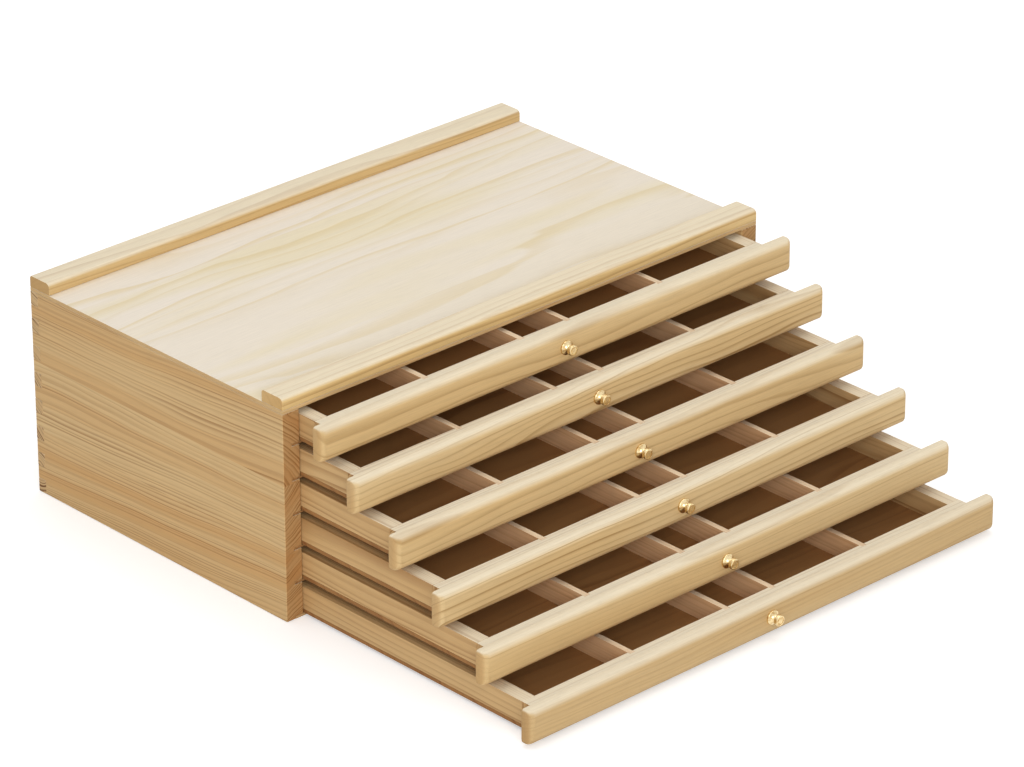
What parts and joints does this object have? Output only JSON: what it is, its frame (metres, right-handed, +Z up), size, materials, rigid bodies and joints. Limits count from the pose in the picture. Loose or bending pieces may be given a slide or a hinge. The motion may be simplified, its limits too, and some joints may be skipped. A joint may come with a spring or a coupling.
{
  "type": "pencil drawer box",
  "caption": "Low wooden cabinet of shallow full-width drawers on thin runners, each split by dividers into compartments and pulled out by a small brass knob.",
  "frame": {"origin": "centre of the cabinet's footprint, on the table", "axes": "+X to the right along the drawer fronts, +Y towards the back, +Z up; drawers pull out along -Y"},
  "size_m": [0.4, 0.4609, 0.1505],
  "materials": {
    "cabinet_board": "clear-sanded pine, strong grain",
    "top_board": "pale sanded pine",
    "rail_board": "pale sanded pine",
    "front_board": "pale sanded pine, rounded edges",
    "drawer_board": "sanded pine",
    "divider_board": "sanded softwood",
    "runner_strip": "thin hardwood strip",
    "plywood": "thin plywood",
    "brass": "polished",
    "steel": "zinc-plated screw"
  },
  "bodies": {
    "cabinet": {"left_side_panel": "cabinet_board", "right_side_panel": "cabinet_board", "back_panel": "cabinet_board", "top_panel": "top_board", "bottom_panel": "plywood", "front_rail": "rail_board", "rear_rail": "rail_board", "left_runners": "runner_strip", "right_runners": "runner_strip"},
    "drawer_1": {"drawer_1_front": "front_board", "drawer_1_inner_front": "drawer_board", "drawer_1_back": "drawer_board", "drawer_1_sides": "drawer_board", "drawer_1_bottom": "plywood", "drawer_1_dividers": "divider_board", "drawer_1_knob": "brass", "drawer_1_screw": "steel"},
    "drawer_2": {"drawer_2_front": "front_board", "drawer_2_inner_front": "drawer_board", "drawer_2_back": "drawer_board", "drawer_2_sides": "drawer_board", "drawer_2_bottom": "plywood", "drawer_2_dividers": "divider_board", "drawer_2_knob": "brass", "drawer_2_screw": "steel"},
    "drawer_3": {"drawer_3_front": "front_board", "drawer_3_inner_front": "drawer_board", "drawer_3_back": "drawer_board", "drawer_3_sides": "drawer_board", "drawer_3_bottom": "plywood", "drawer_3_dividers": "divider_board", "drawer_3_knob": "brass", "drawer_3_screw": "steel"},
    "drawer_4": {"drawer_4_front": "front_board", "drawer_4_inner_front": "drawer_board", "drawer_4_back": "drawer_board", "drawer_4_sides": "drawer_board", "drawer_4_bottom": "plywood", "drawer_4_dividers": "divider_board", "drawer_4_knob": "brass", "drawer_4_screw": "steel"},
    "drawer_5": {"drawer_5_front": "front_board", "drawer_5_inner_front": "drawer_board", "drawer_5_back": "drawer_board", "drawer_5_sides": "drawer_board", "drawer_5_bottom": "plywood", "drawer_5_dividers": "divider_board", "drawer_5_knob": "brass", "drawer_5_screw": "steel"},
    "drawer_6": {"drawer_6_front": "front_board", "drawer_6_inner_front": "drawer_board", "drawer_6_back": "drawer_board", "drawer_6_sides": "drawer_board", "drawer_6_bottom": "plywood", "drawer_6_dividers": "divider_board", "drawer_6_knob": "brass", "drawer_6_screw": "steel"}
  },
  "joints": [
    {"name": "drawer_1_slide", "type": "slide", "parent": "cabinet", "child": "drawer_1", "axis": [0, -1, 0], "range_m": [-0.02544, 0.18656]},
    {"name": "drawer_2_slide", "type": "slide", "parent": "cabinet", "child": "drawer_2", "axis": [0, -1, 0], "range_m": [-0.05491, 0.15709]},
    {"name": "drawer_3_slide", "type": "slide", "parent": "cabinet", "child": "drawer_3", "axis": [0, -1, 0], "range_m": [-0.09158, 0.12042]},
    {"name": "drawer_4_slide", "type": "slide", "parent": "cabinet", "child": "drawer_4", "axis": [0, -1, 0], "range_m": [-0.1289, 0.0831]},
    {"name": "drawer_5_slide", "type": "slide", "parent": "cabinet", "child": "drawer_5", "axis": [0, -1, 0], "range_m": [-0.16663, 0.04537]},
    {"name": "drawer_6_slide", "type": "slide", "parent": "cabinet", "child": "drawer_6", "axis": [0, -1, 0], "range_m": [-0.20543, 0.00657]}
  ]
}
